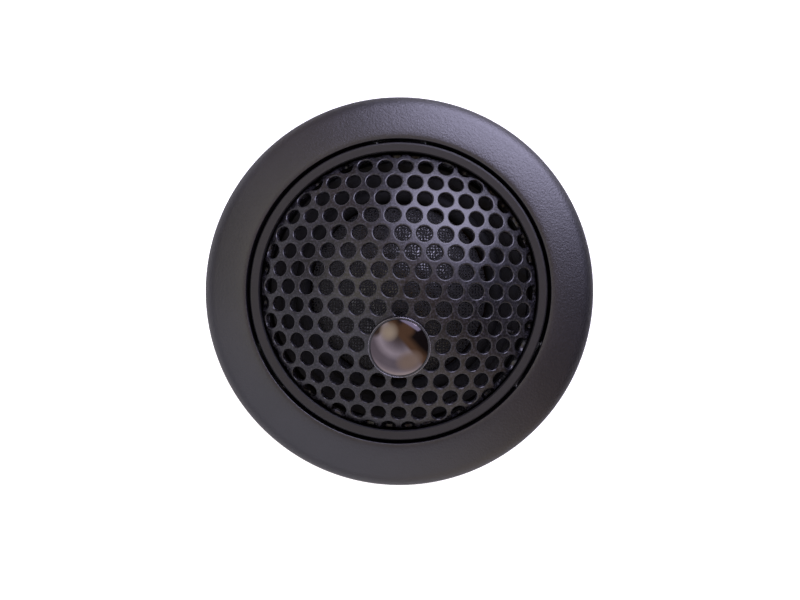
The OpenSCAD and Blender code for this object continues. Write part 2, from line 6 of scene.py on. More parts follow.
import bmesh
import bpy
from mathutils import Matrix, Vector


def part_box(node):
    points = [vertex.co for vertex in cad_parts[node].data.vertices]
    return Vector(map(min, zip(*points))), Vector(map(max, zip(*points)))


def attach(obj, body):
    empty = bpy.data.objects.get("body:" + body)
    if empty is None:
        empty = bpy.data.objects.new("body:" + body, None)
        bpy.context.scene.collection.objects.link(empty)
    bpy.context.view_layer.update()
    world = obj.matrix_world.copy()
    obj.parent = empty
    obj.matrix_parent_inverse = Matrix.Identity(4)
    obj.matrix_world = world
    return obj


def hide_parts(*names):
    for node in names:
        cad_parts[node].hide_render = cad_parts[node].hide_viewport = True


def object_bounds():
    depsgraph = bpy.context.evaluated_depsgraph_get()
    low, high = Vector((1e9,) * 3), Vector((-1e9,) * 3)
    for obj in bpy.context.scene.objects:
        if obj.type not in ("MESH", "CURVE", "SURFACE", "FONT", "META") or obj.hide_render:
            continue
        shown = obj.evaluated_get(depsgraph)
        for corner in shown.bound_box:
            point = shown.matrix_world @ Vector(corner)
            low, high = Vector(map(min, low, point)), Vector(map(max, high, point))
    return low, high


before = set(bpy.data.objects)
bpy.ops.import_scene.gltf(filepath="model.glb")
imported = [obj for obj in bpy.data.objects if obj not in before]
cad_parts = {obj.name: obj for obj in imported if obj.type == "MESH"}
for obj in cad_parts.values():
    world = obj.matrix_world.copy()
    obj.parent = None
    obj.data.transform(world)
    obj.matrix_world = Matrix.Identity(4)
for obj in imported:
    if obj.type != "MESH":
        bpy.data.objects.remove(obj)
cad_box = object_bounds()

MM = 0.001

# ---- Sizes, in millimetres, with the front of the panel at z = 0 ----

RING_R = 28.0
RING_LIP = 0.1
RING_CREST_Z = 3.0
RING_CREST_W = 0.3
RING_SLOPE = math.radians(19)
RING_BROW = 3.9
BROW_LEAN = math.radians(42)
RING_NOSE = 0.4
RING_NOSE_Z = 0.76
BORE_R = 21.87
SOCKET_R = 22.75
SOCKET_Z = 1.25
SEAT_R = 23.4
SEAT_Z = 0.15

GRILLE_BALL_R = 31.4
GRILLE_CROWN_Z = 9.0
GRILLE_SHEET = 0.6
GRILLE_SKIRT_R = 19.8
GRILLE_SEAT_Z = -0.3
GRILLE_BEND = 0.8
HOLE_R = 1.15
HOLE_PITCH = 3.1
HOLE_ROLL = 0.2
HOLE_BURR = 0.05
GRID_TURN = math.radians(-1.6)
GRID_AT = Vector((-0.96, 0.28))

# The hole that the badge's stud goes through, by steps along the grid's two rows
BADGE_CELL = (2, -3)
BADGE_R = 4.4
BADGE_RIM = 0.3
BADGE_TRAY_H = 0.9
BADGE_WELL = 0.5
BADGE_CROWN = 1.1
BADGE_CAP_R = 4.05
BADGE_WIRE = 0.042
BADGE_WIRE_IN = 0.04
STUD_R = 0.9
STUD_END = -1.65

DOME_R = 18.0
DOME_FOOT_R = 12.6
DOME_FOOT_Z = 0.6
SILK = 0.15
ROLL_IN_R = 12.775
ROLL_R = 1.1
LAND_OUT_R = 16.9

FELT_EDGE = 0.3
# Depth of the felt's lumps as a share of its thickness
FELT_LUMPS = 0.06


# ---- Camera: straight down on the front, a little from the right ----

CAMERA_LENS = 90
CAMERA_DISTANCE = 288 * MM
# In radians
CAMERA_LEAN = 0.0357
CAMERA_AIM = Vector((0.19, -1.28, 1.3)) * MM


def set_camera():
    """A long lens over the front of the tweeter."""
    data = bpy.data.cameras.new("camera")
    data.lens = CAMERA_LENS
    data.sensor_width = 36
    data.clip_start = 0.01
    camera = bpy.data.objects.new("camera", data)
    bpy.context.scene.collection.objects.link(camera)
    back = Vector((math.sin(CAMERA_LEAN), 0, math.cos(CAMERA_LEAN)))
    camera.location = CAMERA_AIM + back * CAMERA_DISTANCE
    camera.rotation_euler = (0, CAMERA_LEAN, 0)
    bpy.context.scene.camera = camera


# ---- Finishes ----


def linear(hex_colour):
    """An sRGB hex colour as linear red, green, blue and alpha."""
    shares = [int(hex_colour[i : i + 2], 16) / 255 for i in (1, 3, 5)]
    return [s / 12.92 if s <= 0.04045 else ((s + 0.055) / 1.055) ** 2.4 for s in shares] + [1]


def add(owner, kind, inputs=None, **settings):
    """Adds a node: its settings, then its inputs, each a plain value or another node's output."""
    tree = owner.node_tree
    node = tree.nodes.new("ShaderNode" + kind)
    for name, value in settings.items():
        setattr(node, name, value)
    for name, value in (inputs or {}).items():
        if isinstance(value, bpy.types.NodeSocket):
            tree.links.new(value, node.inputs[name])
        else:
            node.inputs[name].default_value = value
    return node


def per_metre(size_mm):
    """Scale of a pattern whose smallest form is this wide."""
    return 1 / (size_mm * MM)


def bands(apart_mm):
    """Scale of a wave pattern whose bands are this far apart."""
    return per_metre(apart_mm) * math.pi / 10


def start(name):
    """A bare material, and the coordinates of its piece in metres."""
    material = bpy.data.materials.new(name)
    material.use_nodes = True
    material.node_tree.nodes.clear()
    return material, add(material, "TexCoord").outputs["Object"]


def coat(material, sockets, tones, roughness, relief=None, ends=(0.3, 0.7)):
    """Finishes a material from plain values of the shader's sockets and from what patterns drive.

    tones: a pattern, its dark and its light colour; ends says where on the pattern they lie.
    roughness: a pattern, and the roughness where it is 0 and where it is 1.
    relief: a pattern, and its depth in millimetres.
    """
    pattern, dark, light = tones
    ramp = add(material, "ValToRGB", {"Fac": pattern})
    for stop, place, colour in zip(ramp.color_ramp.elements, ends, (dark, light)):
        stop.position = place
        stop.color = linear(colour)
    pattern, low, high = roughness
    spread = add(material, "MapRange", {"Value": pattern, "To Min": low, "To Max": high})
    driven = {"Base Color": ramp.outputs["Color"], "Roughness": spread.outputs["Result"]}
    if relief:
        pattern, depth_mm = relief
        bump = add(material, "Bump", {"Height": pattern, "Distance": depth_mm * MM})
        driven["Normal"] = bump.outputs["Normal"]
    shader = add(material, "BsdfPrincipled", {**sockets, **driven})
    add(material, "OutputMaterial", {"Surface": shader.outputs["BSDF"]})
    return material


def moulded_abs(name, dark, light, roughness, grain_mm=0.22, depth_mm=0.012, ior=1.54):
    """ABS, or a plastic worked like it: the grain of its mould makes it matte."""
    material, place = start(name)
    eroded = {"Vector": place, "Scale": per_metre(grain_mm), "Detail": 3, "Roughness": 0.6}
    grain = add(material, "TexNoise", eroded).outputs["Fac"]
    cloud = add(material, "TexNoise", {"Vector": place, "Scale": per_metre(5)}).outputs["Fac"]
    gloss = (grain, roughness - 0.06, roughness + 0.06)
    return coat(material, {"IOR": ior}, (cloud, dark, light), gloss, (grain, depth_mm))


def lacquered_steel(name):
    """Punched steel in semi-gloss lacquer: bright lines on the holes, dust that speckles it."""
    material, place = start(name)
    orange_peel = {"Vector": place, "Scale": per_metre(0.3), "Detail": 3, "Roughness": 0.65}
    peel = add(material, "TexNoise", orange_peel).outputs["Fac"]
    # real dust is finer; it is this coarse so that it shows
    settled = {"Vector": place, "Scale": per_metre(0.24), "Roughness": 0.6}
    dust = add(material, "TexNoise", settled).outputs["Fac"]
    tones = (dust, "#020203", "#36353b")
    return coat(material, {"IOR": 1.48}, tones, (dust, 0.26, 0.36), (peel, 0.02), ends=(0.45, 0.75))


def smoked_chrome(name):
    """Dark chrome, polished: a dim mirror of the whole room."""
    material, place = start(name)
    wiped = {"Vector": place, "Scale": per_metre(2.5), "Detail": 3}
    haze = add(material, "TexNoise", wiped).outputs["Fac"]
    return coat(material, {"Metallic": 1.0}, (haze, "#5d5556", "#655d5e"), (haze, 0.05, 0.1))


def bright_plate(name):
    """Polished nickel plate: a thin line that catches light from every side."""
    material, place = start(name)
    haze = add(material, "TexNoise", {"Vector": place, "Scale": per_metre(0.5)}).outputs["Fac"]
    return coat(material, {"Metallic": 1.0}, (haze, "#6f6d74", "#8a8890"), (haze, 0.2, 0.32))


def woven_silk(name):
    """Doped silk, woven: uneven threads whose crowns glint, drawn 0.45 mm apart to show."""
    material, place = start(name)
    threads = {"Vector": place, "Scale": bands(0.45), "Distortion": 5, "Detail Scale": 2.5}
    warp = add(material, "TexWave", threads, bands_direction="X").outputs["Fac"]
    weft = add(material, "TexWave", threads, bands_direction="Y").outputs["Fac"]
    cloth = add(material, "Math", {0: warp, 1: weft}, operation="MULTIPLY").outputs["Value"]
    slubs = {"Vector": place, "Scale": per_metre(0.4), "Detail": 3, "Roughness": 0.7}
    uneven = add(material, "TexNoise", slubs).outputs["Fac"]
    crowns = add(material, "Math", {0: cloth, 1: uneven}, operation="MULTIPLY").outputs["Value"]
    tops = {"Value": crowns, "From Min": 0.16, "From Max": 0.3}
    glint = add(material, "MapRange", tops).outputs["Result"]
    tones = (glint, "#020203", "#0c0b10")
    return coat(material, {"IOR": 1.6}, tones, (glint, 0.85, 0.14), (crowns, 0.03), ends=(0, 1))


def worked_metal(name, dark, light, roughness):
    """Plated, blued or blackened metal: fine marks in the surface that blur what it mirrors."""
    material, place = start(name)
    fine = {"Vector": place, "Scale": per_metre(0.15), "Detail": 3, "Roughness": 0.6}
    marks = add(material, "TexNoise", fine).outputs["Fac"]
    gloss = (marks, roughness - 0.05, roughness + 0.08)
    return coat(material, {"Metallic": 1.0}, (marks, dark, light), gloss, (marks, 0.004))


def soft_rubber(name, dark, light, roughness=0.62, ior=1.5):
    """Rubber, and the foam, doped cloth, sleeve and film that look like it: dull, a faint bloom."""
    material, place = start(name)
    clouded = {"Vector": place, "Scale": per_metre(0.6), "Detail": 4, "Roughness": 0.6}
    bloom = add(material, "TexNoise", clouded).outputs["Fac"]
    gloss = (bloom, roughness - 0.05, roughness + 0.05)
    return coat(material, {"IOR": ior}, (bloom, dark, light), gloss, (bloom, 0.02))


def wool_felt(name, dark, light):
    """Needled felt: tangled fibres with no gloss."""
    material, place = start(name)
    tangle = {"Vector": place, "Scale": per_metre(0.25), "Detail": 6, "Roughness": 0.75}
    fibre = add(material, "TexNoise", tangle).outputs["Fac"]
    sockets = {"IOR": 1.45, "Sheen Weight": 0.3}
    return coat(material, sockets, (fibre, dark, light), (fibre, 0.85, 1.0), (fibre, 0.12))


def enamelled_wire(name):
    """Copper wire wound turn on turn, drawn 0.14 mm apart: a row of ridges under dark enamel."""
    material, place = start(name)
    wound = {"Vector": place, "Scale": bands(0.14)}
    turns = add(material, "TexWave", wound, bands_direction="Z").outputs["Fac"]
    tones = (turns, "#1c110c", "#3d2618")
    return coat(material, {"Metallic": 1.0}, tones, (turns, 0.35, 0.25), (turns, 0.05))


# ---- Meshes ----

# Edges that turn more than this stay sharp
SHARP_FROM = math.radians(40)


def show(name, mesh, material, body, replaces):
    """A piece of the tweeter in place of CAD nodes, riding on their body."""
    mesh.materials.append(material)
    mesh.shade_smooth()
    mesh.set_sharp_from_angle(angle=SHARP_FROM)
    piece = bpy.data.objects.new(name, mesh)
    bpy.context.scene.collection.objects.link(piece)
    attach(piece, body)
    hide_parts(*replaces)


def arc(centre, radius, first, last, steps):
    """Points of an arc in a profile; angles in degrees from the outward direction."""
    turn = [math.radians(first + (last - first) * i / steps) for i in range(steps + 1)]
    return [(centre[0] + radius * math.cos(a), centre[1] + radius * math.sin(a)) for a in turn]


def rounded(corners):
    """A closed profile of (radius, height, fillet) corners with its corners rounded."""
    steps = 4
    points = []
    for i, (r, z, fillet) in enumerate(corners):
        here = Vector((r, z))
        if not fillet:
            points.append((r, z))
            continue
        before = Vector(corners[i - 1][:2]) - here
        after = Vector(corners[(i + 1) % len(corners)][:2]) - here
        half = before.angle(after) / 2
        reach = fillet / math.tan(half)
        middle = (before.normalized() + after.normalized()).normalized()
        centre = here + middle * fillet / math.sin(half)
        a = here + before.normalized() * reach - centre
        b = here + after.normalized() * reach - centre
        first = math.atan2(a.y, a.x)
        sweep = (math.atan2(b.y, b.x) - first + math.pi) % (2 * math.pi) - math.pi
        for k in range(steps + 1):
            t = first + sweep * k / steps
            points.append((centre.x + fillet * math.cos(t), centre.y + fillet * math.sin(t)))
    return points


def revolve(name, profile, segments):
    """A solid of revolution from a closed profile of (radius, height) points in millimetres."""
    mesh, b = bpy.data.meshes.new(name), bmesh.new()
    rows = []
    for r, z in profile:
        if r < 1e-6:
            rows.append([b.verts.new((0, 0, z * MM))] * segments)
            continue
        turns = [2 * math.pi * k / segments for k in range(segments)]
        places = [(r * math.cos(t) * MM, r * math.sin(t) * MM, z * MM) for t in turns]
        rows.append([b.verts.new(place) for place in places])
    for low, high in zip(rows, rows[1:] + rows[:1]):
        for k in range(segments):
            n = (k + 1) % segments
            corners = list(dict.fromkeys((low[k], low[n], high[n], high[k])))
            if len(corners) > 2:
                b.faces.new(corners)
    bmesh.ops.recalc_face_normals(b, faces=b.faces)
    b.to_mesh(mesh)
    b.free()
    return mesh


def bezier(a, b, c, d, steps):
    """Points of a curve from a to d in a profile, which leaves toward b and arrives from c."""
    points = []
    for t in [i / steps for i in range(steps + 1)]:
        weights = ((1 - t) ** 3, 3 * (1 - t) ** 2 * t, 3 * (1 - t) * t * t, t**3)
        points.append(tuple(sum(w * p[k] for w, p in zip(weights, (a, b, c, d))) for k in (0, 1)))
    return points


def trim_ring():
    """The face falls from a flat crest by the bore, steeper at its brow, to a rounded nose."""
    crest_r = BORE_R + RING_LIP + RING_CREST_W
    slope, steep = math.degrees(RING_SLOPE), math.degrees(BROW_LEAN)
    nose_at = (RING_R - RING_NOSE, RING_NOSE_Z)
    inset = RING_BROW - RING_NOSE
    brow_at = (nose_at[0] - inset * math.sin(BROW_LEAN), nose_at[1] - inset * math.cos(BROW_LEAN))
    brow = arc(brow_at, RING_BROW, 90 - slope, 90 - steep, 10)
    # how far the face keeps to the level of the crest and to the slope of the brow
    level, straight = 0.5, 1.8
    leave = (crest_r + level, RING_CREST_Z)
    r, z = brow[0]
    arrive = (r - straight * math.cos(RING_SLOPE), z + straight * math.sin(RING_SLOPE))
    profile = [(SEAT_R, 0.0), (SEAT_R, SEAT_Z), (SOCKET_R, SEAT_Z), (SOCKET_R, SOCKET_Z)]
    profile.append((BORE_R, SOCKET_Z))
    profile += arc((BORE_R + RING_LIP, RING_CREST_Z - RING_LIP), RING_LIP, 180, 90, 5)
    profile += bezier((crest_r, RING_CREST_Z), leave, arrive, brow[0], 28)
    profile += brow[1:] + arc(nose_at, RING_NOSE, 90 - steep, 0, 8)[1:] + [(RING_R, 0.0)]
    return revolve("trim_ring", profile, 288)


# ---- Grille: a punched blank laid over the dome and turned down at its edge ----

# How far along the sheet, from the crown, the bend starts; the skirt follows it
BEND_C_R = GRILLE_SKIRT_R - GRILLE_BEND
BEND_START = math.asin(BEND_C_R / (GRILLE_BALL_R - GRILLE_BEND))
BEND_AT = BEND_START * GRILLE_BALL_R
BEND_END = BEND_AT + GRILLE_BEND * (math.pi / 2 - BEND_START)
BALL_Z = GRILLE_CROWN_Z - GRILLE_BALL_R
BEND_C_Z = BALL_Z + (GRILLE_BALL_R - GRILLE_BEND) * math.cos(BEND_START)
SHEET_END = BEND_END + BEND_C_Z - GRILLE_SEAT_Z


def on_sheet(flat, depth):
    """The place of a point of the flat blank once it is formed, depth under its outer face."""
    along = flat.length
    way = flat / along if along > 1e-9 else Vector((1, 0))
    if along < BEND_AT:
        lean = along / GRILLE_BALL_R
        reach = GRILLE_BALL_R - depth
        r, z = reach * math.sin(lean), BALL_Z + reach * math.cos(lean)
    elif along < BEND_END:
        lean = BEND_START + (along - BEND_AT) / GRILLE_BEND
        reach = GRILLE_BEND - depth
        r, z = BEND_C_R + reach * math.sin(lean), BEND_C_Z + reach * math.cos(lean)
    else:
        r, z = GRILLE_SKIRT_R - depth, BEND_C_Z - (along - BEND_END)
    return Vector((way.x * r, way.y * r, z)) * MM


def cell_centre(i, j):
    """Where a hole is on the flat blank, by its steps along the grid's two rows."""
    x, y = HOLE_PITCH * (i + j / 2), HOLE_PITCH * j * math.sqrt(3) / 2
    c, s = math.cos(GRID_TURN), math.sin(GRID_TURN)
    return GRID_AT + Vector((x * c - y * s, x * s + y * c))


def punched_grille():
    """Every hole is the middle of a six-sided cell; the cells share their sides."""
    around = 24
    turns = [GRID_TURN + 2 * math.pi * k / around for k in range(around)]
    reach = int(SHEET_END / HOLE_PITCH) + 3
    grid = range(-reach, reach + 1)
    cells = [cell_centre(i, j) for i in grid for j in grid]
    cells = [c for c in cells if c.length < SHEET_END]
    # rings of one cell from its hole outwards: distance from the hole's edge, and depth
    roll = arc((HOLE_ROLL, HOLE_ROLL), HOLE_ROLL, 180, 270, 5)
    rings = [(0.0, GRILLE_SHEET - HOLE_BURR)] + roll + [(HOLE_ROLL + HOLE_BURR, 0.0)]

    def side(angle):
        """Distance from a cell's centre to its side."""
        turn = (angle - GRID_TURN + math.pi / 6) % (math.pi / 3) - math.pi / 6
        return HOLE_PITCH / 2 / math.cos(turn)

    b = bmesh.new()
    sides = []
    ways = [Vector((math.cos(t), math.sin(t))) for t in turns]
    for c in cells:

        def round_hole(out, depth):
            return [b.verts.new((*(c + w * (HOLE_R + out)), depth)) for w in ways]

        def round_cell(depth):
            return [b.verts.new((*(c + w * side(t)), depth)) for w, t in zip(ways, turns)]

        upper = [round_hole(out, depth) for out, depth in rings] + [round_cell(0.0)]
        lower = [round_hole(HOLE_BURR, GRILLE_SHEET), round_cell(GRILLE_SHEET)]
        sides += upper[-1] + lower[-1]
        sheet = lower[::-1] + upper
        for low, high in zip(sheet, sheet[1:]):
            for k in range(around):
                n = (k + 1) % around
                b.faces.new((low[k], low[n], high[n], high[k]))
    bmesh.ops.remove_doubles(b, verts=sides, dist=HOLE_PITCH / 200)
    # a wall closes the blank all round, and what lies past the bend is drawn out to a round edge
    edge = [e for e in b.edges if e.is_boundary]
    ends = [v.co for e in edge for v in e.verts]
    outline = sorted({(math.atan2(p.y, p.x), math.hypot(p.x, p.y)) for p in ends})
    bmesh.ops.bridge_loops(b, edges=edge)
    outline = [(outline[-1][0] - 2 * math.pi, outline[-1][1])] + outline
    outline.append((outline[1][0] + 2 * math.pi, outline[1][1]))

    def outline_at(angle):
        """How far out the ragged outline is at a turn round the axis."""
        for (a0, r0), (a1, r1) in zip(outline, outline[1:]):
            if a0 <= angle <= a1:
                return r0 + (r1 - r0) * (angle - a0) / max(a1 - a0, 1e-9)
        return SHEET_END

    for v in b.verts:
        flat, depth = Vector(v.co[:2]), v.co.z
        if flat.length > BEND_END:
            end = outline_at(math.atan2(flat.y, flat.x))
            drawn = BEND_END + (flat.length - BEND_END) * (SHEET_END - BEND_END) / (end - BEND_END)
            flat = flat.normalized() * drawn
        v.co = on_sheet(flat, depth)
    bmesh.ops.recalc_face_normals(b, faces=b.faces)
    mesh = bpy.data.meshes.new("grille")
    b.to_mesh(mesh)
    b.free()
    return mesh


def on_dome(mesh, flat):
    """Moves a mesh made round the z axis to its place on the grille, along the dome's normal."""
    lean = flat.length / GRILLE_BALL_R
    way = (flat.x / flat.length, flat.y / flat.length)
    normal = Vector((way[0] * math.sin(lean), way[1] * math.sin(lean), math.cos(lean)))
    turn = Vector((0, 0, 1)).rotation_difference(normal)
    base = Vector((0, 0, BALL_Z)) + normal * GRILLE_BALL_R
    for v in mesh.vertices:
        v.co = turn @ v.co + base * MM
    return mesh


def badge_tray():
    """A black cup with a thin rim, hollow behind where it meets the dome, and its stud."""
    seat = BADGE_TRAY_H - BADGE_WELL
    in_r = BADGE_R - BADGE_RIM
    # the skirt ends just above the dome, which has fallen away this far from the badge's middle
    off_dome = 0.02
    skirt = off_dome - BADGE_R**2 / (2 * GRILLE_BALL_R)
    root, hollow_r, hollow_z = -0.01, BADGE_R * 0.6, -0.09
    rim_fillet, lip_fillet, stud_fillet = 0.12, 0.05, 0.1
    profile = [
        (BADGE_R, skirt, 0), (BADGE_R, BADGE_TRAY_H, rim_fillet), (in_r, BADGE_TRAY_H, lip_fillet),
        (in_r, seat, 0), (0, seat, 0), (0, STUD_END, 0), (STUD_R, STUD_END, stud_fillet),
        (STUD_R, root, 0), (hollow_r, hollow_z, 0),
    ]
    return revolve("badge_tray", rounded(profile), 96)


def badge_cap():
    """A crowned bright cap set in the tray, bare of any mark."""
    seat = BADGE_TRAY_H - BADGE_WELL
    ball = (BADGE_CAP_R**2 + BADGE_CROWN**2) / (2 * BADGE_CROWN)
    half = math.degrees(math.asin(BADGE_CAP_R / ball))
    crown = arc((0, BADGE_TRAY_H + BADGE_CROWN - ball), ball, 90, 90 - half, 24)
    crown[0] = (0, crown[0][1])
    profile = crown + [(BADGE_CAP_R, seat), (0, seat)]
    return revolve("badge_cap", profile, 96)


def badge_edge():
    """A fine plated line round the tray."""
    corner = (BADGE_R - BADGE_WIRE_IN, BADGE_TRAY_H - BADGE_WIRE_IN)
    return revolve("badge_edge", arc(corner, BADGE_WIRE, 0, 330, 11), 96)


def silk_dome():
    """A thin shell, part of a ball, that ends at the foot where it is bonded."""
    half = math.degrees(math.asin(DOME_FOOT_R / DOME_R))
    ball_z = DOME_FOOT_Z - DOME_R * math.cos(math.radians(half))
    outer = arc((0, ball_z), DOME_R, 90, 90 - half, 40)
    inner = arc((0, ball_z), DOME_R - SILK, 90 - half, 90, 40)
    outer[0] = (0, outer[0][1])
    inner[-1] = (0, inner[-1][1])
    return revolve("silk_dome", outer + inner, 160)


def silk_surround():
    """One half roll between the dome and the ring that holds it."""
    middle = (ROLL_IN_R + ROLL_R, DOME_FOOT_Z)
    over = arc(middle, ROLL_R, 180, 0, 24)
    back = arc(middle, ROLL_R - SILK, 0, 180, 24)
    land = [(LAND_OUT_R, DOME_FOOT_Z + SILK), (LAND_OUT_R, DOME_FOOT_Z)]
    over[-1] = (over[-1][0], DOME_FOOT_Z + SILK)
    return revolve("silk_surround", over + land + back, 192)


def felt_pad(name, node, seed):
    """A felt disc with a soft uneven face and edge, in the room of its CAD solid."""
    low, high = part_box(node)
    r, h = (high.x - low.x) / 2, high.z - low.z
    fillet = FELT_EDGE * MM
    lumps = random.Random(seed)
    profile = rounded([(0, low.z, 0), (r, low.z, fillet), (r, high.z, fillet), (0, high.z, 0)])
    rows = []
    # points a millimetre apart across the faces, for the lumps
    for (r0, z0), (r1, z1) in zip(profile, profile[1:]):
        steps = max(1, int(abs(r1 - r0) / MM))
        rows += [(r0 + (r1 - r0) * k / steps, z0 + (z1 - z0) * k / steps) for k in range(steps)]
    rows.append(profile[-1])
    mesh = revolve(name, [(a / MM, z / MM) for a, z in rows], 72)
    for v in mesh.vertices:
        v.co.z -= lumps.random() * FELT_LUMPS * h if v.co.z > low.z + h / 2 else 0
    return mesh


# ---- Light ----

# The key lamp: its turn and angle off the axis, in degrees, and its sizes in metres
KEY_AT = (62, 52)
KEY_DISTANCE, KEY_W, KEY_H = 0.6, 0.5, 0.4
KEY_RADIANCE = 8.8
LAMP_WHITE = "#e1dcff"
LAMP_FRAME = "#c9caf2"

# Colours of the room's pale side by the sine of their height
PALE_WALL = [
    (0.0, "#f6f0ee"), (0.12, "#c4c0cc"), (0.32, "#94919e"), (0.56, "#95929f"),
    (0.76, "#e0deee"), (0.93, "#95919d"), (1.0, "#6a605c"),
]
DIM_WALL = "#252124"
BROWN_WALL = "#7e6550"
CABINET_TAN = "#e2dac4"
WARM_CURTAIN = "#c0b2a6"
DOORWAY_DULL = "#5a5048"
TABLE_WHITE = "#e4e0e2"
ROOM_STRENGTH = 2.4

# Forms in the room. Each has the turn and the angle off the axis of its middle, in degrees,
# and the cosines of the angles from there to its faint rim and to its full colour
BROWN_STRIP = ((219, 90), -0.32, -0.12)
PALE_SIDE = ((219, 90), 0.0, 0.1)
CURTAIN = ((290, 60), 0.89, 0.985)
DOOR = ((164, 52), 0.95, 0.985)
BROWN_CORNER = ((40, 20), 0.94, 0.985)
CABINET = ((163, 23), 0.93, 0.995)
# The lamp's frame is round on one side and straight on the other
FRAME_ROUND = ((54, 42), 0.883, 0.899)
FRAME_STRAIGHT = ((60, 110), 0.11, 0.14)
TABLE = ((0, 0), 0.15, 0.02)

# Paper under the tweeter: a painted shadow (a dark colour) and no glow near the axis, pale and
# lit from these distances on, in millimetres
PAPER_PAINTED_SHADOW = "#202020"
PAPER_PALE = "#f4f4f4"
PAPER_PAINTED_SHADOW_TO, PAPER_PALE_FROM = 23.6, 26
PAPER_UNLIT_TO, PAPER_LIT_FROM = 24.2, 27.5
PAPER_GLOW = 0.75
# Faces closer above it than this get its light in any case, also in millimetres
PAPER_REACH = 9
PAPER_GAP = 0.02
# Half its width, in metres
PAPER_HALF = 3.0


def toward(azimuth, off_axis):
    """A direction from the tweeter, by its turn round the axis and its angle off it, in degrees."""
    a, o = math.radians(azimuth), math.radians(off_axis)
    return Vector((math.cos(a) * math.sin(o), math.sin(a) * math.sin(o), math.cos(o)))


def softbox(name, way, distance, width, height, radiance, colour):
    """A soft lamp that faces the tweeter; radiance 1 would show as white."""
    data = bpy.data.lights.new(name, "AREA")
    data.shape = "RECTANGLE"
    data.size, data.size_y = width, height
    data.energy = radiance * math.pi * width * height
    data.color = linear(colour)[:3]
    lamp = bpy.data.objects.new(name, data)
    bpy.context.scene.collection.objects.link(lamp)
    lamp.location = way.normalized() * distance
    lamp.rotation_euler = way.to_track_quat("Z", "Y").to_euler()


def set_light():
    """One lamp in a room with a pale and a dim side, a brown strip overhead and a white table."""
    softbox("key", toward(*KEY_AT), KEY_DISTANCE, KEY_W, KEY_H, KEY_RADIANCE, LAMP_WHITE)
    world = bpy.data.worlds.new("studio")
    bpy.context.scene.world = world
    world.use_nodes = True
    world.node_tree.nodes.clear()
    way = add(world, "TexCoord").outputs["Generated"]
    height = add(world, "SeparateXYZ", {0: way}).outputs["Z"]
    ramp = add(world, "ValToRGB", {"Fac": height})
    stops = ramp.color_ramp.elements
    for place, _ in PALE_WALL[1:-1]:
        stops.new(place)
    for stop, (_, colour) in zip(stops, PALE_WALL):
        stop.color = linear(colour)

    def near(middle, rim, full):
        """How far a way lies toward a middle, from 0 at one cosine to 1 at the other."""
        pair = {0: way, 1: toward(*middle)}
        dot = add(world, "VectorMath", pair, operation="DOT_PRODUCT").outputs["Value"]
        ends = {"Value": dot, "From Min": rim, "From Max": full}
        return add(world, "MapRange", ends).outputs["Result"]

    both_edges = {0: near(*FRAME_ROUND), 1: near(*FRAME_STRAIGHT)}
    crescent = add(world, "Math", both_edges, operation="MULTIPLY").outputs["Value"]
    walls = linear(DIM_WALL)
    # the later ones are in front
    for share, colour in (
        (near(*BROWN_STRIP), linear(BROWN_WALL)),
        (near(*PALE_SIDE), ramp.outputs["Color"]),
        (near(*CURTAIN), linear(WARM_CURTAIN)),
        (near(*DOOR), linear(DOORWAY_DULL)),
        (near(*BROWN_CORNER), linear(BROWN_WALL)),
        (near(*CABINET), linear(CABINET_TAN)),
        (crescent, linear(LAMP_FRAME)),
        (near(*TABLE), linear(TABLE_WHITE)),
    ):
        # inputs 6 and 7 are the two colours of the mix
        mix = {0: share, 6: walls, 7: colour}
        walls = add(world, "Mix", mix, data_type="RGBA").outputs[2]
    room = add(world, "Background", {"Color": walls, "Strength": ROOM_STRENGTH})
    backdrop = add(world, "Background", {"Color": (1, 1, 1, 1)})
    seen = add(world, "LightPath").outputs["Is Camera Ray"]
    both = add(world, "MixShader", {0: seen, 1: room.outputs[0], 2: backdrop.outputs[0]})
    add(world, "OutputWorld", {"Surface": both.outputs[0]})


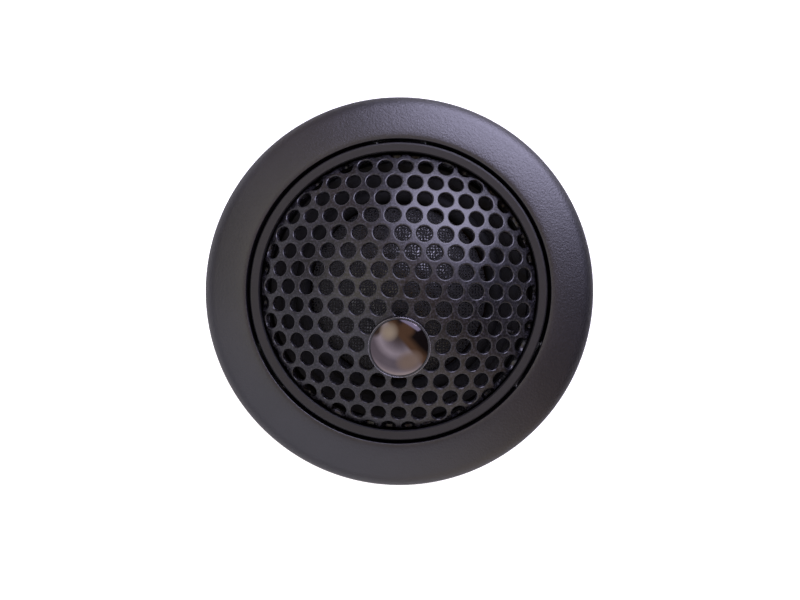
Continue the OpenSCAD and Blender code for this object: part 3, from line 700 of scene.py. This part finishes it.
def set_floor():
    """White paper under the tweeter, lit up where it is seen or mirrored, with the shadow kept;
    near the axis its colour is a painted shadow.
    """
    paper, place = start("white_paper")
    ray = add(paper, "LightPath").outputs
    seen = add(paper, "Math", {0: ray["Is Camera Ray"], 1: ray["Is Glossy Ray"]}).outputs[0]
    through = {0: seen, 1: ray["Is Transmission Ray"]}
    seen = add(paper, "Math", through, use_clamp=True).outputs[0]
    # none of it glows under the ring, so that no light comes up through the gaps
    out = add(paper, "VectorMath", {0: place}, operation="LENGTH").outputs["Value"]
    edges = {"From Min": PAPER_UNLIT_TO * MM, "From Max": PAPER_LIT_FROM * MM}
    lift = {"Value": out, **edges, "To Max": PAPER_GLOW}
    open_part = add(paper, "MapRange", lift).outputs["Result"]
    # but the faces just above it that look down are lit, for a view from below
    reach = {0: ray["Ray Length"], 1: PAPER_REACH * MM}
    close = add(paper, "Math", reach, operation="LESS_THAN").outputs[0]
    unseen = {0: close, 1: ray["Is Camera Ray"]}
    bounced = add(paper, "Math", unseen, operation="SUBTRACT").outputs[0]
    lit = add(paper, "Math", {0: open_part, 1: bounced}, operation="MAXIMUM").outputs[0]
    glow = add(paper, "Math", {0: seen, 1: lit}, operation="MULTIPLY").outputs[0]
    # painted shadow: the paper's colour is dark near the axis and pale further out, as if the
    # tweeter shaded it
    edges = {"From Min": PAPER_PAINTED_SHADOW_TO * MM, "From Max": PAPER_PALE_FROM * MM}
    pale = add(paper, "MapRange", {"Value": out, **edges}).outputs["Result"]
    shade = add(paper, "ValToRGB", {"Fac": pale})
    for stop, colour in zip(shade.color_ramp.elements, (PAPER_PAINTED_SHADOW, PAPER_PALE)):
        stop.color = linear(colour)
    sockets = {"Roughness": 0.9, "Emission Color": (1, 1, 1, 1), "Emission Strength": glow}
    shader = add(paper, "BsdfPrincipled", {"Base Color": shade.outputs["Color"], **sockets})
    # seen from below it is clear
    clear = add(paper, "BsdfTransparent")
    below = add(paper, "NewGeometry").outputs["Backfacing"]
    faces = add(paper, "MixShader", {0: below, 1: shader.outputs[0], 2: clear.outputs[0]})
    add(paper, "OutputMaterial", {"Surface": faces.outputs[0]})
    mesh = bpy.data.meshes.new("floor")
    half = PAPER_HALF
    corners = [(-half, -half, 0), (half, -half, 0), (half, half, 0), (-half, half, 0)]
    mesh.from_pydata(corners, [], [(0, 1, 2, 3)])
    mesh.materials.append(paper)
    floor = bpy.data.objects.new("floor", mesh)
    floor.location.z = cad_box[0].z - PAPER_GAP * MM
    bpy.context.scene.collection.objects.link(floor)


# ---- Putting it together ----

set_camera()
set_light()
set_floor()
bpy.context.scene.view_settings.view_transform = "Standard"

ring_abs = moulded_abs(
    "ring_grained_abs", "#0b0b0f", "#111014", 0.37, grain_mm=0.32, depth_mm=0.035, ior=1.57
)
housing_abs = moulded_abs(
    "housing_satin_abs", "#08080a", "#0d0c0f", 0.45, grain_mm=0.2, depth_mm=0.01, ior=1.48
)
collar_abs = moulded_abs(
    "collar_moulded_abs", "#1a191c", "#232226", 0.48, grain_mm=0.3, depth_mm=0.02
)
cap_abs = moulded_abs(
    "rear_cap_moulded_abs", "#17171a", "#222226", 0.5, grain_mm=0.4, depth_mm=0.03
)
chassis_pbt = moulded_abs("chassis_moulded_pbt", "#060607", "#0b0b0c", 0.65, ior=1.3)
frame_abs = moulded_abs("diaphragm_ring_moulded_abs", "#0b0b0c", "#131315", 0.6, ior=1.42)
tray_abs = moulded_abs(
    "badge_tray_gloss_abs", "#0c0c0e", "#121215", 0.15, grain_mm=1.2, depth_mm=0.002
)
laminate = moulded_abs("board_phenolic_laminate", "#5f4022", "#6b4a2a", 0.5, grain_mm=0.5)
grille_steel = lacquered_steel("grille_lacquered_steel")
dark_chrome = smoked_chrome("badge_dark_chrome")
nickel = bright_plate("badge_edge_polished_nickel")
silk = woven_silk("dome_woven_silk")
roll_cloth = soft_rubber("surround_doped_cloth", "#060607", "#0c0c0e", 0.75, 1.3)
rubber = soft_rubber("grommet_rubber", "#131315", "#1a1a1d")
foam = soft_rubber("seal_foam", "#0f0f11", "#1a1a1c", 0.85)
grey_felt = wool_felt("felt_grey_wool", "#3a3a3c", "#59595b")
spring_steel = worked_metal("clip_blued_spring_steel", "#55575b", "#75777b", 0.4)
pin_steel = worked_metal("pin_blackened_steel", "#232326", "#303034", 0.4)
nut_steel = worked_metal("nut_spring_steel", "#85878a", "#a2a4a7", 0.35)
screw_zinc = worked_metal("screw_zinc_plate", "#9b9ea3", "#c0c3c7", 0.32)
yoke_steel = worked_metal("yoke_zinc_plate", "#a2a4a6", "#bbbdbe", 0.38)
magnet_nickel = worked_metal("magnet_nickel_plate", "#b8b5ab", "#cbc8be", 0.22)
lug_brass = worked_metal("lug_tinned_brass", "#b79a58", "#cdb27a", 0.3)
rivet_tin = worked_metal("rivet_tinned_steel", "#a9abad", "#c6c8ca", 0.3)
lead_sleeve = soft_rubber("lead_black_sleeve", "#0b0b0c", "#121214", 0.5)
former_film = soft_rubber("former_black_film", "#0d0c0c", "#141212", 0.4)
winding_copper = enamelled_wire("winding_enamelled_copper")

# the CAD solids whose shape is kept
FINISHES = {
    "mounting_collar": collar_abs,
    "clip_pins": pin_steel,
    "spring_clip_1": spring_steel,
    "spring_clip_2": spring_steel,
    "spring_clip_3": spring_steel,
    "housing_shell": housing_abs,
    "badge_push_nut": nut_steel,
    "chassis": chassis_pbt,
    "diaphragm_ring": frame_abs,
    "coil_former": former_film,
    "coil_winding": winding_copper,
    "pole_plate": yoke_steel,
    "magnet": magnet_nickel,
    "yoke_cup": yoke_steel,
    "terminal_board": laminate,
    "terminal_lugs": lug_brass,
    "lug_rivets": rivet_tin,
    "lead_wires": lead_sleeve,
    "rear_cap": cap_abs,
    "rear_cap_seal": foam,
    "rear_cap_screws": screw_zinc,
    "cable_grommet": rubber,
}
for node_name, finish in FINISHES.items():
    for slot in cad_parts[node_name].material_slots:
        slot.material = finish

badge_at = cell_centre(*BADGE_CELL)
tray = on_dome(badge_tray(), badge_at)
cap = on_dome(badge_cap(), badge_at)
edge = on_dome(badge_edge(), badge_at)
pad = felt_pad("damping_felt", "damping_pad", 1)
wadding = felt_pad("chamber_wadding", "chamber_felt", 2)
show("trim_ring_face", trim_ring(), ring_abs, "mount", ["trim_ring"])
show("punched_grille", punched_grille(), grille_steel, "tweeter", ["grille"])
show("badge_tray", tray, tray_abs, "tweeter", ["badge_base"])
show("badge_bright_cap", cap, dark_chrome, "tweeter", ["badge_cap"])
show("badge_edge", edge, nickel, "tweeter", [])
show("silk_dome", silk_dome(), silk, "diaphragm", ["dome"])
show("silk_surround", silk_surround(), roll_cloth, "tweeter", ["surround"])
show("damping_felt", pad, grey_felt, "tweeter", ["damping_pad"])
show("chamber_wadding", wadding, grey_felt, "tweeter", ["chamber_felt"])
